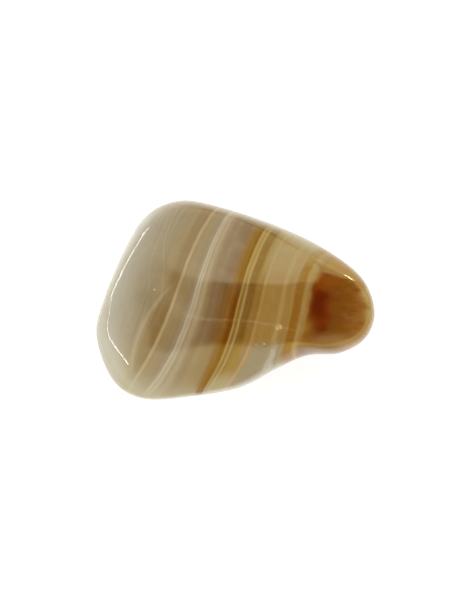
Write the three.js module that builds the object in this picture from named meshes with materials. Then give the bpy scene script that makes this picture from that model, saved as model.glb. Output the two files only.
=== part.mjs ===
// A tumbled agate: one water-smooth pebble, worn from a single piece of banded chalcedony.
// It is a blunt teardrop that lies on its broad side, with +X towards the tip and +Z up.
// The stone is one solid, as it formed. Units are millimetres.
import * as THREE from 'three';
import { mergeVertices } from 'three/addons/utils/BufferGeometryUtils.js';

// The girth is the stone's widest section, seen from above. These are the corners and
// the middles of its sides, [x, y], and a closed spline through them rounds it off.
const GIRTH = [
  [15.95, -1.3],    // end of the tip
  [14.45, 2.55],
  [10.2, 5.85],
  [4.9, 8.4],
  [-1.1, 10.45],
  [-6.2, 11.4],     // far corner of the broad end
  [-10.2, 9.7],
  [-12.8, 5.7],
  [-15.2, 0.0],
  [-16.05, -4.3],   // near corner of the broad end
  [-14.3, -9.2],
  [-10.6, -11.35],
  [-5.2, -11.1],
  [0.5, -10.05],
  [5.0, -7.75],
  [8.2, -6.4],      // shallow waist behind the tip
  [12.0, -6.1],
  [14.9, -4.4],
];

// The side wall is half an ellipse above the girth and half an ellipse below it.
const WALL_RISE = 9.0;
const WALL_DROP = 8.0;

// Tumbling wore the stone to soft flats. Each is a plane given by the direction it faces,
// as azimuth and elevation in degrees, and by its distance from the middle of the girth.
const TOP_FLATS = [
  { azimuth: 0, elevation: 90, distance: 6.1 },      // crown
  { azimuth: 178, elevation: 75, distance: 6.45 },   // slope to the broad end
  { azimuth: 80, elevation: 70, distance: 6.45 },    // slope to the long side
  { azimuth: 265, elevation: 66, distance: 6.95 },   // slope to the waisted side
  { azimuth: 10, elevation: 70, distance: 7.5 },     // slope to the tip
  { azimuth: 58, elevation: 36, distance: 9.35 },    // shoulder of the tip
  { azimuth: 210, elevation: 45, distance: 12.35 },  // bevel of the near corner
];
const BOTTOM_FLATS = [
  { azimuth: 0, elevation: -90, distance: 6.7 },     // belly
  { azimuth: 190, elevation: -62, distance: 9.6 },
  { azimuth: 90, elevation: -60, distance: 8.6 },
  { azimuth: 300, elevation: -58, distance: 8.8 },
  { azimuth: 0, elevation: -64, distance: 9.2 },
];

// How tightly neighbouring surfaces meet: a higher number is a crisper edge.
const TOP_CRISPNESS = 14;       // between the flats on top
const BOTTOM_CRISPNESS = 12;    // between the flats underneath
const RIM_CRISPNESS = 34;       // between the top and the side wall
const HEEL_CRISPNESS = 14;      // between the underside and all above it

// The belly is worn level where the stone rests, this far below the girth.
const REST_DEPTH = 6.48;

// The mesh starts as a ball of even triangles, stretched to the stone's rough proportions.
const BALL_DETAIL = 14;
const BALL_STRETCH = new THREE.Vector3(16, 11.4, 7);

const GIRTH_SAMPLES = 1440;

// The girth's radius by angle: the spline is sampled, then looked up between samples.
function girthTable() {
  const corners = GIRTH.map(([x, y]) => new THREE.Vector3(x, y, 0));
  const spline = new THREE.CatmullRomCurve3(corners, true, 'catmullrom', 0.5);
  const samples = [];
  for (let i = 0; i < GIRTH_SAMPLES; i++) {
    const point = spline.getPoint(i / GIRTH_SAMPLES);
    samples.push({ angle: Math.atan2(point.y, point.x), radius: point.length() });
  }
  samples.sort((a, b) => a.angle - b.angle);
  const first = samples[0];
  const last = samples[samples.length - 1];
  samples.unshift({ angle: last.angle - 2 * Math.PI, radius: last.radius });
  samples.push({ angle: first.angle + 2 * Math.PI, radius: first.radius });
  return samples;
}

function girthRadius(table, angle) {
  let low = 0;
  let high = table.length - 1;
  while (high - low > 1) {
    const middle = (low + high) >> 1;
    if (table[middle].angle > angle) high = middle;
    else low = middle;
  }
  const share = (angle - table[low].angle) / (table[high].angle - table[low].angle);
  return THREE.MathUtils.lerp(table[low].radius, table[high].radius, share);
}

// A flat as a vector: its dot product with a point is 1 where the point lies on the plane.
function flatVector({ azimuth, elevation, distance }) {
  const polar = THREE.MathUtils.degToRad(90 - elevation);
  const around = THREE.MathUtils.degToRad(azimuth);
  return new THREE.Vector3(
    Math.sin(polar) * Math.cos(around),
    Math.sin(polar) * Math.sin(around),
    Math.cos(polar),
  ).divideScalar(distance);
}

// The largest of several sizes, rounded off where two of them are nearly equal.
function softLargest(sizes, crispness) {
  const largest = Math.max(...sizes);
  if (largest <= 0) return 0;
  const sum = sizes.reduce((total, size) => total + Math.max(0, size / largest) ** crispness, 0);
  return largest * sum ** (1 / crispness);
}

const girth = girthTable();
const topFlats = TOP_FLATS.map(flatVector);
const bottomFlats = BOTTOM_FLATS.map(flatVector);

// How far out a point lies: 1 on the stone's surface, less inside and more outside.
// It grows in proportion along any ray from the middle of the girth.
function reach(point) {
  const radius = girthRadius(girth, Math.atan2(point.y, point.x));
  const rise = point.z > 0 ? point.z / WALL_RISE : point.z / WALL_DROP;
  const wall = Math.hypot(point.x / radius, point.y / radius, rise);
  const top = softLargest(topFlats.map((flat) => flat.dot(point)), TOP_CRISPNESS);
  const bottom = softLargest(bottomFlats.map((flat) => flat.dot(point)), BOTTOM_CRISPNESS);
  const upper = softLargest([wall, top], RIM_CRISPNESS);
  return softLargest([upper, bottom], HEEL_CRISPNESS);
}

function stoneGeometry() {
  const ball = new THREE.IcosahedronGeometry(1, BALL_DETAIL);
  ball.deleteAttribute('normal');
  ball.deleteAttribute('uv');
  const geometry = mergeVertices(ball);
  const position = geometry.getAttribute('position');
  const point = new THREE.Vector3();
  for (let i = 0; i < position.count; i++) {
    point.fromBufferAttribute(position, i).multiply(BALL_STRETCH);
    point.divideScalar(reach(point));
    point.z = Math.max(point.z, -REST_DEPTH);
    position.setXYZ(i, point.x, point.y, point.z);
  }
  geometry.computeBoundingBox();
  const { min, max } = geometry.boundingBox;
  geometry.translate(-(min.x + max.x) / 2, -(min.y + max.y) / 2, -min.z);
  geometry.computeVertexNormals();
  return geometry;
}

const agate = new THREE.MeshStandardMaterial({ color: 0x9a7b48, roughness: 0.12, metalness: 0 });

const stone = new THREE.Mesh(stoneGeometry(), agate);
stone.name = 'tumbled_agate';

const part = new THREE.Group();
part.add(stone);

export default part;
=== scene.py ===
"""A tumbled agate on a plain white ground, seen from straight above.

The stone is one fine mesh, made from the same surface formula as its CAD solid, with a few
tiny pits pressed into it. Its bands are one procedural material, laid through the whole
stone. The stone's own numbers are in millimetres; the scene is in metres.
"""
import math

import bmesh
import bpy
import numpy as np
from mathutils import Matrix, Vector


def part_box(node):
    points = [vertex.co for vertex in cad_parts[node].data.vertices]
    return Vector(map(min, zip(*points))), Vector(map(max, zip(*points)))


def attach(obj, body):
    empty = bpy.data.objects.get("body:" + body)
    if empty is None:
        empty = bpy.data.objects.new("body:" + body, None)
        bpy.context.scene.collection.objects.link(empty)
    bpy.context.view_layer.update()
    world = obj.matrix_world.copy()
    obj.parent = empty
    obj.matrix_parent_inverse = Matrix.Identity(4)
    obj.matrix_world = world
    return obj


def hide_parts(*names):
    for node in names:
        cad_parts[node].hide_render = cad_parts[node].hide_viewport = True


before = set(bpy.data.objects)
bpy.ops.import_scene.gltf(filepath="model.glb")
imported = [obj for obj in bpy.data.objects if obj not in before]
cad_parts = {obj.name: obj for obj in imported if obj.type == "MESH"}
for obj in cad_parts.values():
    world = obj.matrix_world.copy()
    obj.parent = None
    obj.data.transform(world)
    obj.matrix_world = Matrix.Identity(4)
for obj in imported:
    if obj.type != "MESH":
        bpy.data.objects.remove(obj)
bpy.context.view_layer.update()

STONE_LOW, STONE_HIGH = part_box("tumbled_agate")
MM = 0.001

# ---------------------------------------------------------------------------------------
# The stone's shape, in millimetres about the middle of its girth
# ---------------------------------------------------------------------------------------
# The widest section seen from above: points on it that a closed spline rounds off.
GIRTH = [
    (15.95, -1.3), (14.45, 2.55), (10.2, 5.85), (4.9, 8.4), (-1.1, 10.45), (-6.2, 11.4),
    (-10.2, 9.7), (-12.8, 5.7), (-15.2, 0.0), (-16.05, -4.3), (-14.3, -9.2), (-10.6, -11.35),
    (-5.2, -11.1), (0.5, -10.05), (5.0, -7.75), (8.2, -6.4), (12.0, -6.1), (14.9, -4.4),
]
WALL_RISE = 9.0     # height of the side wall's half ellipse above the girth
WALL_DROP = 8.0     # and below it

# The soft flats that tumbling wore: azimuth and elevation of each in degrees, and its
# distance from the middle.
TOP_FLATS = [(0, 90, 6.1), (178, 75, 6.45), (80, 70, 6.45), (265, 66, 6.95), (10, 70, 7.5),
             (58, 36, 9.35), (210, 45, 12.35)]
BOTTOM_FLATS = [(0, -90, 6.7), (190, -62, 9.6), (90, -60, 8.6), (300, -58, 8.8),
                (0, -64, 9.2)]

# How tightly neighbouring surfaces meet: a higher number is a crisper edge.
TOP_CRISPNESS = 14      # between the flats on top
BOTTOM_CRISPNESS = 12   # between the flats underneath
RIM_CRISPNESS = 34      # between the top and the side wall
HEEL_CRISPNESS = 14     # between the underside and all above it

REST_DEPTH = 6.48       # the worn level spot lies this far below the girth

# The mesh starts as a ball of even triangles, stretched to the stone's rough proportions.
BALL_STRETCH = np.array([16.0, 11.4, 7.0])
BALL_SUBDIVISIONS = 7

# Pits in the polish of the top: x, y, radius, depth and roundness, which is 1 for a round
# pit and less for a long one.
PITS = [
    (4.95, -3.1, 0.42, 0.10, 0.55),     # the chip
    (2.3, -5.1, 0.13, 0.05, 0.8),
    (3.25, -5.0, 0.16, 0.05, 0.7),
    (-9.2, 1.2, 0.12, 0.04, 0.9),       # on the grey end
    (10.4, 4.2, 0.16, 0.04, 0.3),       # on the tip's shoulder
]


def closed_spline(corners, steps=80):
    """Points along a closed uniform Catmull-Rom spline through the corners."""
    corners = np.array(corners, float)
    before, after, beyond = (np.roll(corners, shift, axis=0) for shift in (1, -1, -2))
    share = np.linspace(0, 1, steps, endpoint=False)[:, None, None]
    points = 0.5 * (
        2 * corners
        + (after - before) * share
        + (2 * before - 5 * corners + 4 * after - beyond) * share**2
        + (3 * corners - before - 3 * after + beyond) * share**3
    )
    return points.transpose(1, 0, 2).reshape(-1, 2)


def direction(azimuth, elevation):
    """The unit vector in a direction that is given in degrees."""
    around, up = math.radians(azimuth), math.radians(elevation)
    return np.array([math.cos(up) * math.cos(around), math.cos(up) * math.sin(around), math.sin(up)])


def flat_vectors(flats):
    """Each flat as a vector whose dot product with a point on the flat's plane is 1."""
    return np.array([direction(azimuth, elevation) / distance
                     for azimuth, elevation, distance in flats])


def soft_largest(sizes, crispness):
    """The largest of several sizes, rounded off where two of them are nearly equal."""
    sizes = np.maximum(sizes, 0)
    largest = np.maximum(sizes.max(axis=0), 1e-9)
    return largest * ((sizes / largest) ** crispness).sum(axis=0) ** (1 / crispness)


def reach(points):
    """How far out each point lies: 1 on the stone's surface, less inside, more outside."""
    outline = closed_spline(GIRTH)
    angle = np.arctan2(outline[:, 1], outline[:, 0])
    order = np.argsort(angle)
    radius = np.interp(np.arctan2(points[:, 1], points[:, 0]), angle[order],
                       np.hypot(*outline.T)[order], period=2 * math.pi)
    level = np.hypot(points[:, 0], points[:, 1]) / radius
    rise = np.where(points[:, 2] > 0, points[:, 2] / WALL_RISE, points[:, 2] / WALL_DROP)
    top = soft_largest(flat_vectors(TOP_FLATS) @ points.T, TOP_CRISPNESS)
    bottom = soft_largest(flat_vectors(BOTTOM_FLATS) @ points.T, BOTTOM_CRISPNESS)
    upper = soft_largest(np.array([np.hypot(level, rise), top]), RIM_CRISPNESS)
    return soft_largest(np.array([upper, bottom]), HEEL_CRISPNESS)


def on_surface(directions):
    """The points of the stone's surface that lie in these directions from its middle."""
    points = directions * BALL_STRETCH
    points /= reach(points)[:, None]
    points[:, 2] = np.maximum(points[:, 2], -REST_DEPTH)
    return points


def vertices_of(bm):
    return np.array([vertex.co[:] for vertex in bm.verts])


def refine_round(bm, x, y, distance):
    """Cuts the triangles of the top into smaller ones, twice, within a distance of a spot."""
    for _ in range(2):
        near = {
            edge
            for vertex in bm.verts
            if vertex.co.z > 0 and math.hypot(vertex.co.x - x, vertex.co.y - y) < distance
            for edge in vertex.link_edges
        }
        bmesh.ops.subdivide_edges(bm, edges=list(near), cuts=1, use_grid_fill=True, smooth=0.0)


def press_pit(bm, pit, rng):
    """Presses one pit with a ragged edge into the top face."""
    x, y, radius, depth, roundness = pit
    turn = rng.uniform(0, math.pi)
    coarse, fine, _ = rng.uniform(0, 2 * math.pi, 3)
    for vertex in bm.verts:
        if vertex.co.z < 0:
            continue
        dx, dy = vertex.co.x - x, vertex.co.y - y
        along = dx * math.cos(turn) + dy * math.sin(turn)
        across = (dy * math.cos(turn) - dx * math.sin(turn)) / roundness
        angle = math.atan2(across, along)
        ragged = 1 + 0.12 * math.sin(3 * angle + coarse) + 0.08 * math.sin(5 * angle + fine)
        off = math.hypot(along, across) / (radius * ragged)
        if off < 1:
            vertex.co.z -= depth * (1 - off**3)


def stone_mesh():
    """The stone in metres, standing on the ground with its middle over its CAD solid's."""
    bm = bmesh.new()
    bmesh.ops.create_icosphere(bm, subdivisions=BALL_SUBDIVISIONS, radius=1.0)
    points = on_surface(vertices_of(bm))
    centre = (points.max(axis=0) + points.min(axis=0)) / 2
    for vertex, point in zip(bm.verts, points - centre):
        vertex.co = point
    rng = np.random.default_rng(7)
    for pit in PITS:
        x, y, radius, _, _ = pit
        refine_round(bm, x, y, 2 * radius)
        press_pit(bm, pit, rng)
    floor = min(vertex.co.z for vertex in bm.verts)
    middle = (STONE_LOW + STONE_HIGH) / 2
    for vertex in bm.verts:
        vertex.co.z -= floor
        vertex.co *= MM
        vertex.co.x += middle.x
        vertex.co.y += middle.y
    for face in bm.faces:
        face.smooth = True
    mesh = bpy.data.meshes.new("tumbled_agate_stone")
    bm.to_mesh(mesh)
    bm.free()
    return mesh


# ---------------------------------------------------------------------------------------
# Shader helpers
# ---------------------------------------------------------------------------------------
TENT_LIGHT = 1.9    # how bright the white tent round the stone is; 1 already shows as white
STONE_LIGHT = 1.15  # how brightly it lights the stone's top, with a dark gap straight above


def feed(tree, socket, value):
    """Links a field or another node's socket to this one, or sets it to a plain value."""
    if isinstance(value, Field):
        value = value.socket
    if isinstance(value, bpy.types.NodeSocket):
        tree.links.new(value, socket)
    else:
        socket.default_value = value


def add_node(tree, kind, inputs=(), **settings):
    """A new node with its settings and inputs, which are listed in order or by name."""
    made = tree.nodes.new(kind)
    for name, value in settings.items():
        setattr(made, name, value)
    pairs = inputs.items() if isinstance(inputs, dict) else enumerate(inputs)
    for slot, value in pairs:
        feed(tree, made.inputs[slot], value)
    return made


class Field:
    """A number that varies over a surface. Arithmetic on it adds the nodes for it."""

    def __init__(self, tree, socket):
        self.tree = tree
        self.socket = socket

    def math(self, operation, *others):
        made = add_node(self.tree, "ShaderNodeMath", (self, *others), operation=operation)
        return Field(self.tree, made.outputs[0])

    def __add__(self, other):
        return self.math("ADD", other)

    def __sub__(self, other):
        return self.math("SUBTRACT", other)

    def __mul__(self, other):
        return self.math("MULTIPLY", other)

    def __truediv__(self, other):
        return self.math("DIVIDE", other)

    def __rsub__(self, other):
        return self * -1 + other

    __radd__ = __add__
    __rmul__ = __mul__

    def squared(self):
        return self * self

    def cubed(self):
        return self * self * self

    def size(self):
        return self.math("ABSOLUTE")

    def at_least(self, low):
        return self.math("MAXIMUM", low)

    def at_most(self, high):
        return self.math("MINIMUM", high)

    def rise(self, start, end):
        """0 before start and 1 after end, with a smooth climb between; start may be the larger."""
        if start > end:
            return 1 - self.rise(end, start)
        made = add_node(self.tree, "ShaderNodeMapRange", (self, start, end, 0.0, 1.0),
                        interpolation_type="SMOOTHSTEP")
        return Field(self.tree, made.outputs[0])

    def between(self, start, full, fading, end):
        """1 from full to fading, and 0 before start and after end."""
        return self.rise(start, full) * self.rise(end, fading)

    def line(self, place, half_width, blur):
        """1 within half_width of the place, falling to 0 over the blur."""
        return (self - place).size().rise(half_width + blur, half_width)


def noise(x, y, z, scale, detail=2.0, seed=0.0):
    """Cloudy variation from about -0.5 to 0.5, with a grain of 1/scale."""
    place = add_node(x.tree, "ShaderNodeCombineXYZ", (x + seed, y - seed, z)).outputs[0]
    made = add_node(x.tree, "ShaderNodeTexNoise",
                    {"Vector": place, "Scale": scale, "Detail": detail, "Roughness": 0.55})
    return Field(x.tree, made.outputs["Fac"]) - 0.5


def tone(red, green, blue):
    """A colour as it looks on the stone's top, 0 to 255, as the linear colour of nodes."""
    def linear(level):
        level /= 255
        return level / 12.92 if level <= 0.04045 else ((level + 0.055) / 1.055) ** 2.4
    return (*(linear(level) / STONE_LIGHT for level in (red, green, blue)), 1.0)


def paint(under, over, share):
    """Lays the colour over on the colour under, by a share that varies over the surface."""
    made = add_node(share.tree, "ShaderNodeMix", data_type="RGBA")
    sockets = {socket.identifier: socket for socket in (*made.inputs, *made.outputs)}
    feed(share.tree, sockets["Factor_Float"], share)
    feed(share.tree, sockets["A_Color"], under)
    feed(share.tree, sockets["B_Color"], over)
    return sockets["Result_Color"]


def ramp(field, stops):
    """Colours along a field: stops are (place, colour) in rising order."""
    first, last = stops[0][0], stops[-1][0]
    share = (field - first) / (last - first)
    made = add_node(field.tree, "ShaderNodeValToRGB", (share,))
    elements = made.color_ramp.elements
    elements[0].color = stops[0][1]
    elements[1].color = stops[-1][1]
    for place, colour in stops[1:-1]:
        elements.new((place - first) / (last - first)).color = colour
    return made.outputs["Color"]


# ---------------------------------------------------------------------------------------
# The agate: its tones
# ---------------------------------------------------------------------------------------
# The grey and olive bands of the broad end.
ASH = tone(154, 145, 127)
PUTTY = tone(148, 133, 105)
SAND = tone(142, 123, 89)
KHAKI = tone(145, 122, 80)
OLIVE = tone(134, 106, 61)
TAUPE = tone(141, 118, 86)
DUN = tone(154, 134, 100)
STRAW = tone(144, 118, 79)
DRAB = tone(131, 103, 68)
UMBER = tone(122, 88, 44)

# The iron-stained bands in the middle.
GINGER = tone(134, 89, 30)
SPICE = tone(132, 82, 18)
RUST = tone(114, 63, 5)
MOSS = tone(134, 102, 45)
BRONZE = tone(128, 88, 30)
OCHRE = tone(144, 105, 42)
HONEY = tone(158, 121, 59)
AMBER = tone(146, 99, 29)
FLAME = tone(160, 84, 14)

# The red-brown tip.
RUSSET = tone(126, 54, 8)
OXBLOOD = tone(112, 47, 8)
GARNET = tone(88, 20, 5)
CHESTNUT = tone(122, 70, 22)
CINNAMON = tone(130, 76, 18)
TOFFEE = tone(140, 86, 24)
CARAMEL = tone(156, 106, 46)
SIENNA = tone(160, 118, 64)
BISCUIT = tone(164, 126, 66)

# Light lines and stains, and the pale tones of the rim, which are painted light: the glow through
# the stone's thin edge and its glancing reflection.
BUFF = tone(172, 140, 80)
PEACH = tone(178, 134, 70)
CREAM = tone(174, 150, 108)
MILK = tone(178, 163, 134)
STRAW_GOLD = tone(160, 134, 76)
LEMON = tone(158, 128, 48)
WHEAT = tone(166, 144, 88)
DOVE = tone(139, 125, 95)
# Painted light: the two pale tones of the rim, the second for the grey end.
PALE_RIM_LIGHT = tone(180, 173, 143)
PEARL = tone(186, 181, 163)
SNOW = tone(192, 186, 166)
FROST = tone(222, 188, 128)

# The shade inside laminae and mottling.
LAMINA_SHADE = tone(60, 38, 14)
MOTTLE_SHADE = tone(90, 60, 24)

# What the polish reflects is tinted by the stone under it, most where iron stains it.
CLEAR_GLOSS = (1.0, 0.98, 0.70, 1.0)
IRON_GLOSS = (1.0, 0.86, 0.18, 1.0)

# The broad tones, by their distance across the bands.
BROAD_BANDS = [
    (-17.0, ASH), (-14.2, ASH), (-12.0, PUTTY), (-10.0, SAND), (-8.8, KHAKI), (-8.1, OLIVE),
    (-7.3, OLIVE), (-6.6, KHAKI), (-5.9, KHAKI), (-5.4, TAUPE), (-4.9, DUN), (-4.0, DUN),
    (-3.5, STRAW), (-3.0, DRAB), (-2.4, DRAB), (-1.5, UMBER), (-0.5, GINGER), (-0.05, RUST),
    (0.2, RUST), (0.34, MOSS), (1.1, MOSS), (1.4, BRONZE), (1.85, BRONZE), (2.1, OCHRE),
    (2.6, OCHRE), (3.3, HONEY), (6.35, HONEY), (6.6, AMBER), (7.2, AMBER), (7.45, HONEY),
    (17.0, HONEY),
]

# The tones of the tip, by the distance along the stone.
TIP_TONES = [
    (6.5, TOFFEE), (7.8, AMBER), (8.7, CINNAMON), (9.6, OXBLOOD), (10.1, OXBLOOD),
    (10.9, CHESTNUT), (12.2, CINNAMON), (13.2, TOFFEE), (14.2, CARAMEL), (15.2, BUFF),
    (16.0, BUFF),
]

# The thin light lines: place, half width, blur and strength, and the line's colour.
LIGHT_LINES = [
    (-7.00, 0.06, 0.26, 0.80, CREAM),
    (-4.86, 0.06, 0.12, 0.95, MILK),
    (-4.54, 0.06, 0.14, 0.80, MILK),
    (-4.00, 0.10, 0.24, 0.45, CREAM),
    (-2.45, 0.04, 0.20, 0.15, KHAKI),
    (0.43, 0.04, 0.11, 0.85, PEACH),
    (0.97, 0.05, 0.15, 0.75, BUFF),
    (2.35, 0.04, 0.16, 0.20, HONEY),
    (2.95, 0.06, 0.20, 0.70, BUFF),
    (5.25, 0.10, 0.32, 0.80, BUFF),
    (6.30, 0.05, 0.16, 0.30, BUFF),
    (7.58, 0.06, 0.20, 0.55, BUFF),
    (7.98, 0.05, 0.14, 0.20, BUFF),
]

# The faint threads in the grey end: place and strength.
THREADS = [(-9.4, 0.25), (-11.6, 0.14), (-13.0, 0.10)]

# Zones across the bands: where each starts, is full, starts fading and ends.
AMBER_ZONE = (6.35, 6.55, 7.25, 7.45)
FAR_HAZE_ZONE = (1.7, 2.5, 8.0, 9.5)
NEAR_STAINS = [     # with the stain's tone and strength
    (STRAW_GOLD, 0.5, (-3.5, -2.8, -1.3, -0.6)),
    (LEMON, 0.5, (1.1, 1.5, 1.9, 2.5)),
    (DOVE, 0.75, (3.0, 3.6, 6.0, 6.8)),
]
IRON_ZONES = [      # with the strength of the iron stain
    (1.0, (-1.1, -0.3, 0.4, 0.9)),
    (0.75, (0.5, 1.2, 2.0, 2.8)),
    (0.8, (6.3, 6.6, 7.4, 7.9)),
]
SNOW_PATCH = 5.6    # the middle of the white patch on the near side

# Places along y: where the near side's stains and the far side's haze come in.
NEAR_SIDE = (-4.0, -6.0)
FAR_SIDE = (2.0, 4.0)

# The dark core of the tip.
CORE_X = 9.3
CORE_Y = -0.4


# ---------------------------------------------------------------------------------------
# The agate: its pattern. Here x, y and z are places in the stone, in millimetres from the
# point on the ground under its middle, and across is the distance across the bands. Each
# with_ function lays one feature over the colour so far.
# ---------------------------------------------------------------------------------------
def across_bands(x, y, z):
    """The distance across the bands: they lean, bend in a slow S and fold gently."""
    tilted = x + z * 0.3 - 3.75
    rough = tilted - y * 0.24 - y.cubed() * 0.0014

    # Each band's run over the top: how it leans, bows and curls depends on where it lies.
    lean = (0.24 - rough * 0.013).at_least(0.16).at_most(0.36)
    bow = (rough - 4.0).at_least(0) * 0.003 - 0.0095
    curl = (rough * 0.0002 + 0.0014).at_least(0.001)
    smooth = tilted - y * lean - y.squared() * bow - y.cubed() * curl

    # The grey end's bands lean over more, and the bands' outer ends are drawn back a little.
    extra_lean = (-3.6 - rough).at_least(0).at_most(3.4) * 0.0197
    left = (-3.0 - rough).at_least(0).at_most(1)
    right = (rough + 3.0).at_least(0).at_most(1)
    drawn_back = (-2.0 - y).at_least(0) * left * 0.045 + (y - 2.0).at_least(0) * right * 0.035

    # The folds grow with the depth below the crown.
    deep = (10.2 - z).at_least(0)
    folds = noise(x, y, z, 0.09, detail=1.0, seed=3.0) * (0.3 + deep * 0.35)
    ripple = noise(x, y, z, 0.35, detail=2.0, seed=8.0) * 0.22
    return smooth - (y - 5.0) * extra_lean - drawn_back + folds + ripple


def with_lens(colour, across, y):
    """The olive lens beside the first cream line, with a pale line along its outer side."""
    lens = across - (y + 3.3).squared() * 0.065 + 9.6
    here = y.rise(-9.0, -6.5)
    inside = lens.rise(0.3, 0.9) * across.rise(-7.0, -7.3) * here
    colour = paint(colour, OLIVE, inside * 0.8)
    outline = lens.line(0.0, 0.08, 0.35) * y.rise(2.5, 0.0) * here
    return paint(colour, MILK, outline * 0.36)


def with_light_lines(colour, across, x, y, z):
    for place, half_width, blur, strength, line_colour in LIGHT_LINES:
        fade = noise(x, y, z, 0.25, detail=1.0, seed=place) * 1.2 + 1.0
        share = across.line(place, half_width, blur) * strength * fade
        colour = paint(colour, line_colour, share.at_most(1))
    return colour


def with_frosted_pits(colour, x, y, z):
    """The broken grain in the pits."""
    grain = noise(x, y, z, 3.5, detail=2.0, seed=4.0)
    for pit_x, pit_y, radius, _, roundness in PITS:
        off = (x - pit_x).squared() + (y - pit_y).squared() / roundness
        frost = (off / radius**2 + grain * 4.0).rise(0.9, 0.3) * z.rise(8.0, 9.0)
        colour = paint(colour, FROST, frost * 0.7)
    return colour


def with_fine_texture(colour, across, x, y, z):
    """Fine laminae in every band, and mottling where light scatters at different depths."""
    laminae = noise(across, y * 0.05, z * 0.05, 3.2, detail=3.0, seed=11.0)
    colour = paint(colour, LAMINA_SHADE, laminae.rise(0.02, 0.30) * 0.14)
    colour = paint(colour, MILK, laminae.rise(-0.02, -0.30) * 0.14)
    mottle = noise(x, y, z, 1.1, detail=4.0, seed=41.0)
    colour = paint(colour, MOTTLE_SHADE, mottle.rise(0.0, 0.35) * 0.12)
    return paint(colour, MILK, mottle.rise(0.0, -0.35) * 0.12)


def with_threads(colour, across, x, y, z):
    """Faint pale threads that wander through the grey end."""
    for place, strength in THREADS:
        wandering = across + noise(x, y, z, 0.13, detail=0.0, seed=50.0 + place) * 9.0
        thread = wandering.line(place, 0.02, 0.14) * across.rise(-7.5, -9.0)
        colour = paint(colour, MILK, thread * y.rise(-4.0, -1.0) * strength)
    return colour


def with_tip(colour, across, x, y, z):
    """The red-brown tip: streaked, with a dark core, and paler along both its sides."""
    wander = noise(x * 0.3, y, z, 0.5, detail=3.0, seed=21.0)
    tip = ramp(x + wander * 4.0, TIP_TONES)
    colour = paint(colour, tip, (across + wander * 0.6).rise(7.7, 8.5))

    streaks = noise(x * 0.15, y * 1.3, z, 1.0, detail=2.0, seed=5.0)
    streaked = x.rise(9.0, 12.0) * 0.5
    colour = paint(colour, CARAMEL, streaked * streaks.rise(0.02, 0.25))
    colour = paint(colour, OXBLOOD, streaked * streaks.rise(-0.05, -0.3))

    core = (x - CORE_X).squared() + (y - CORE_Y).squared() * 0.5 + wander * 4.0
    colour = paint(colour, RUSSET, core.rise(4.5, 1.5) * across.rise(7.9, 8.4) * 0.7)
    colour = paint(colour, GARNET, core.rise(2.8, 0.0) * across.rise(8.1, 8.7) * 0.7)

    far_glow = (y + wander * 2.0).rise(0.8, 2.6) * x.rise(13.0, 10.5) * across.rise(7.9, 8.6)
    colour = paint(colour, FLAME, far_glow * 0.45)
    near_side = (y + wander).rise(-3.2, -4.8) * x.rise(7.0, 10.0)
    colour = paint(colour, SIENNA, near_side * 0.85)
    # The near waist's rim is painted umber: partly its own brown, partly painted shade that damps
    # the bright glancing reflection on that rim.
    shaded_waist = (y + wander * 0.5).rise(-4.9, -5.4) * x.between(6.6, 7.4, 10.5, 13.5)
    colour = paint(colour, UMBER, shaded_waist * z.rise(3.5, 6.0) * 0.9)
    shoulder = (y + x * 0.21 + wander * 1.2).rise(4.95, 5.4) * across.rise(7.6, 9.0)
    return paint(colour, BISCUIT, shoulder * 0.9)


def with_stains(colour, across, x, y, z):
    """Embers in the amber band, and the hazes that cross the bands on both long sides."""
    embers = noise(x, y * 0.4, z, 0.9, detail=2.0, seed=17.0).rise(0.0, 0.2)
    glowing = across.line(6.9, 0.2, 0.25) * embers * y.rise(-5.0, -3.0)
    colour = paint(colour, FLAME, glowing * 0.4)

    amber = across.between(*AMBER_ZONE) * y.rise(4.6, 3.4)
    far_haze = across.between(*FAR_HAZE_ZONE) * y.rise(*FAR_SIDE) * (1 - amber)
    colour = paint(colour, WHEAT, far_haze * 0.5)
    between_gold_lines = across.line(0.72, 0.2, 0.2) * y.rise(0.5, 3.0)
    colour = paint(colour, BUFF, between_gold_lines * 0.45)

    near = y.rise(*NEAR_SIDE)
    for stain, strength, zone in NEAR_STAINS:
        colour = paint(colour, stain, across.between(*zone) * near * strength)
    snowy = noise(x, y, z, 0.8, detail=2.0, seed=14.0) + across.line(SNOW_PATCH, 0.1, 0.7)
    colour = paint(colour, SNOW, snowy.rise(0.6, 1.2) * near * 0.6)

    clouds = noise(x, y, z, 0.16, detail=3.0, seed=30.0)
    colour = paint(colour, MILK, clouds.rise(0.05, 0.35) * 0.3)
    outer = (y + 1.5).size().rise(3.0, 6.0)
    colour = paint(colour, SPICE, across.line(-0.35, 0.15, 0.45) * outer * 0.6)
    return paint(colour, OLIVE, across.line(0.0, 0.9, 0.4) * y.rise(7.6, 8.4) * 0.7)


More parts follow.
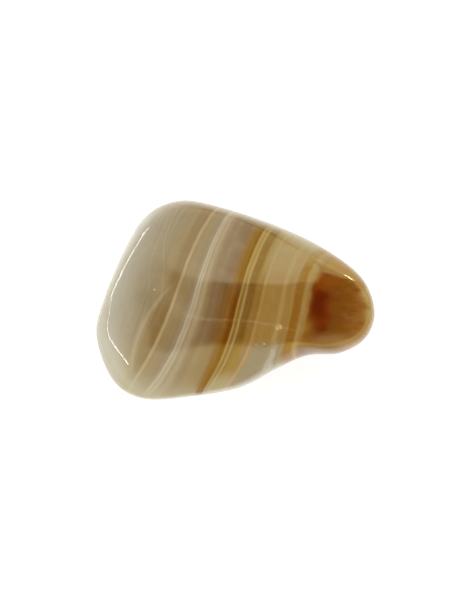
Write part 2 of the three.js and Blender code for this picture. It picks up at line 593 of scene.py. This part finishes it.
def with_painted_rim_light(colour, across, y, z):
    """Paler colour round the rim, painted light for the glow through the thin edge and its glancing
    reflection; weaker over the rust band and round the tip.
    """
    # Painted light: a paler near edge across the moss, bronze and ochre bands.
    near_edge = across.between(0.3, 1.0, 2.5, 3.5) * y.rise(-7.6, -9.4)
    colour = paint(colour, PALE_RIM_LIGHT, near_edge * 0.4)
    rim_light_tone = paint(PEARL, PALE_RIM_LIGHT, across.rise(-11.0, -8.0))
    rim_light_tone = paint(rim_light_tone, DUN, y.rise(9.0, 10.5) * 0.8)
    stained = across.line(-0.1, 0.3, 0.3) * z.rise(7.4, 8.4) * y.rise(4.0, 2.0)
    # Painted light: paler down the sides from below the crown to near the ground, weaker where the
    # rust band's stain reaches the side, and weaker round the tip.
    rim = z.rise(10.3, 8.0) * across.rise(7.5, 6.0) * (1 - stained * 0.7)
    tip_rim = z.rise(8.8, 7.0) * across.rise(6.0, 7.5) * y.rise(-4.6, -3.0)
    return paint(colour, rim_light_tone, (rim * 0.75 + tip_rim * 0.35) * z.rise(3.0, 6.4))


def agate_colour(across, x, y, z):
    colour = ramp(across, BROAD_BANDS)
    colour = with_lens(colour, across, y)
    colour = with_light_lines(colour, across, x, y, z)
    colour = with_frosted_pits(colour, x, y, z)
    colour = with_fine_texture(colour, across, x, y, z)
    colour = with_threads(colour, across, x, y, z)
    colour = with_tip(colour, across, x, y, z)
    colour = with_stains(colour, across, x, y, z)
    return with_painted_rim_light(colour, across, y, z)


def iron_stain(across):
    """How strongly iron stains the stone: most in the rust band, the amber band and the tip."""
    stain = across.rise(7.6, 8.4) * 0.95
    for strength, zone in IRON_ZONES:
        stain = stain + across.between(*zone) * strength
    return stain.at_most(1)


def agate_material():
    material = bpy.data.materials.new("banded_agate")
    material.use_nodes = True
    tree = material.node_tree
    shader = tree.nodes["Principled BSDF"].inputs
    place = add_node(tree, "ShaderNodeTexCoord").outputs["Object"]
    split = add_node(tree, "ShaderNodeSeparateXYZ", (place,))
    x, y, z = (Field(tree, socket) / MM for socket in split.outputs)
    across = across_bands(x, y, z)

    feed(tree, shader["Base Color"], agate_colour(across, x, y, z))
    feed(tree, shader["Specular Tint"], paint(CLEAR_GLOSS, IRON_GLOSS, iron_stain(across)))
    polish = noise(x, y, z, 0.8, detail=3.0, seed=2.0) * 0.05 + 0.075
    feed(tree, shader["Roughness"], polish)
    grain = noise(x, y, z, 4.0, detail=2.0, seed=1.0)
    bump = add_node(tree, "ShaderNodeBump",
                    {"Strength": 0.02, "Distance": 0.1 * MM, "Height": grain})
    feed(tree, shader["Normal"], bump.outputs["Normal"])
    feed(tree, shader["IOR"], 1.54)
    feed(tree, shader["Subsurface Weight"], 0.3)
    feed(tree, shader["Subsurface Radius"], (1.0, 0.85, 0.65))
    feed(tree, shader["Subsurface Scale"], 1.2 * MM)
    return material


def make_stone():
    stone = bpy.data.objects.new("agate_stone", stone_mesh())
    bpy.context.collection.objects.link(stone)
    stone.data.materials.append(agate_material())
    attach(stone, "root")
    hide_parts("tumbled_agate")


# ---------------------------------------------------------------------------------------
# The ground, the light and the camera
# ---------------------------------------------------------------------------------------
GROUND_SIZE = 1.6
GROUND_GREY = 0.5
GROUND_GLOW = 0.68          # evens out the ground, so that it is white with a faint shadow

# The lamps' blue evens out the yellow that the stone's tint gives to a highlight.
LAMP_COLOUR = (0.88, 0.90, 1.25)
LAMP_DISTANCE = 0.4

# A thin lamp in straight lengths makes the bright line round the rim of the broad end. Its
# corners are directions from the stone: azimuth and elevation in degrees.
RIM_STRIP = [(162, 16), (183, 37), (201, 24), (211, 27)]
RIM_STRIP_WIDTH = 0.005
RIM_STRIP_POWER = 0.045     # watts, in each length

# The other lamps: name, directions of both ends, width and watts.
LAMPS = [
    ("left_panel", (141, 13), (169, 13), 0.06, 0.45),       # soft sheen on the far corner
    ("corner_spot", (148, 2.5), (151, 3.5), 0.02, 0.04),    # glint at the end of the line
    ("tip_spot", (38, 11), (43, 10.5), 0.018, 0.08),        # glint on the tip's shoulder
]

LENS = 200.0                # mm
SENSOR = 36.0               # mm, along the picture's long side
VIEW_HEIGHT = 68.8 * MM     # what the picture's long side takes in at the stone's girth
VIEW_OFFSET = (-0.5 * MM, 0.0)
GIRTH_HEIGHT = REST_DEPTH * MM


# The edges of the dark gap in the tent, as slopes off the vertical: outside, then inside.
GAP_LEFT = (-0.66, -0.60)
GAP_RIGHT = (4.5, 1.0)
GAP_FAR_LEFT = (0.305, 0.285)
GAP_FAR = (0.375, 0.350)
GAP_NEAR_LEFT = (-1.04, -0.86)
GAP_NEAR = (-1.02, -0.70)


def make_ground():
    bm = bmesh.new()
    bmesh.ops.create_grid(bm, x_segments=1, y_segments=1, size=GROUND_SIZE / 2)
    mesh = bpy.data.meshes.new("ground")
    bm.to_mesh(mesh)
    bm.free()
    ground = bpy.data.objects.new("ground", mesh)
    bpy.context.collection.objects.link(ground)
    material = bpy.data.materials.new("white_ground")
    material.use_nodes = True
    shader = material.node_tree.nodes["Principled BSDF"].inputs
    shader["Base Color"].default_value = (GROUND_GREY, GROUND_GREY, GROUND_GREY, 1)
    shader["Roughness"].default_value = 0.8
    shader["Emission Color"].default_value = (1, 1, 1, 1)
    shader["Emission Strength"].default_value = GROUND_GLOW
    ground.data.materials.append(material)


def gap_overhead(side, ahead):
    """1 in the tent's dark gap overhead, by the slopes off the vertical, with soft edges."""
    left = side.rise(*GAP_LEFT)
    right = side.rise(*GAP_RIGHT)
    far_left = (ahead - side * 0.62 - side.squared() * 0.35).rise(*GAP_FAR_LEFT)
    far = (ahead - (side * 1.8 - 1.5).at_least(0)).rise(*GAP_FAR)
    near_left = (ahead + side * 1.2).rise(*GAP_NEAR_LEFT)
    near = ahead.rise(*GAP_NEAR)
    return left * right * far_left * far * near_left * near


def make_tent():
    """A white tent all round, with a dark gap overhead that the camera looks through."""
    world = bpy.data.worlds.new("tent")
    bpy.context.scene.world = world
    world.use_nodes = True
    tree = world.node_tree
    direction = add_node(tree, "ShaderNodeTexCoord").outputs["Generated"]
    split = add_node(tree, "ShaderNodeSeparateXYZ", (direction,))
    dx, dy, dz = (Field(tree, socket) for socket in split.outputs)
    side = dx / dz.at_least(0.01)
    ahead = dy / dz.at_least(0.01)
    gap = gap_overhead(side, ahead) * dz.rise(0.05, 0.1)

    # A bright cord across the gap, and a grey seam low on the far side.
    cord = (ahead - (side - 0.03).squared() * 0.6).line(-0.2, 0.005, 0.007)
    cord = cord * side.rise(0.8, 0.6) * 1.1
    seam = dz.line(0.06, 0.05, 0.10) * dy.rise(0.82, 0.9) * dx.rise(0.0, 0.15)
    light = (1.0 - gap * (1.0 - cord)) * (1.0 - seam * 0.8) * TENT_LIGHT
    background = tree.nodes["Background"].inputs
    feed(tree, background["Strength"], light)
    feed(tree, background["Color"], (1, 1, 1, 1))


def make_lamp(name, start, end, width, power):
    """A straight lamp between two directions, which only shows as a highlight on the stone."""
    start, end = (LAMP_DISTANCE * Vector(direction(*place)) for place in (start, end))
    data = bpy.data.lights.new(name, "AREA")
    data.shape = "RECTANGLE"
    data.size = (end - start).length
    data.size_y = width
    data.energy = power
    data.color = LAMP_COLOUR
    lamp = bpy.data.objects.new(name, data)
    bpy.context.collection.objects.link(lamp)
    lamp.visible_diffuse = False
    lamp.location = (start + end) / 2
    along = (end - start).normalized()
    back = lamp.location.normalized()
    lamp.rotation_euler = Matrix((along, back.cross(along), back)).transposed().to_euler()


def make_lamps():
    for number, (start, end) in enumerate(zip(RIM_STRIP, RIM_STRIP[1:])):
        make_lamp(f"rim_strip_{number}", start, end, RIM_STRIP_WIDTH, RIM_STRIP_POWER)
    for lamp in LAMPS:
        make_lamp(*lamp)


def make_camera():
    data = bpy.data.cameras.new("camera")
    data.lens = LENS
    data.sensor_width = SENSOR
    camera = bpy.data.objects.new("camera", data)
    bpy.context.collection.objects.link(camera)
    distance = VIEW_HEIGHT * LENS / SENSOR
    camera.location = (*VIEW_OFFSET, GIRTH_HEIGHT + distance)
    bpy.context.scene.camera = camera


make_camera()
make_stone()
make_ground()
make_tent()
make_lamps()
bpy.context.scene.view_settings.view_transform = "Standard"
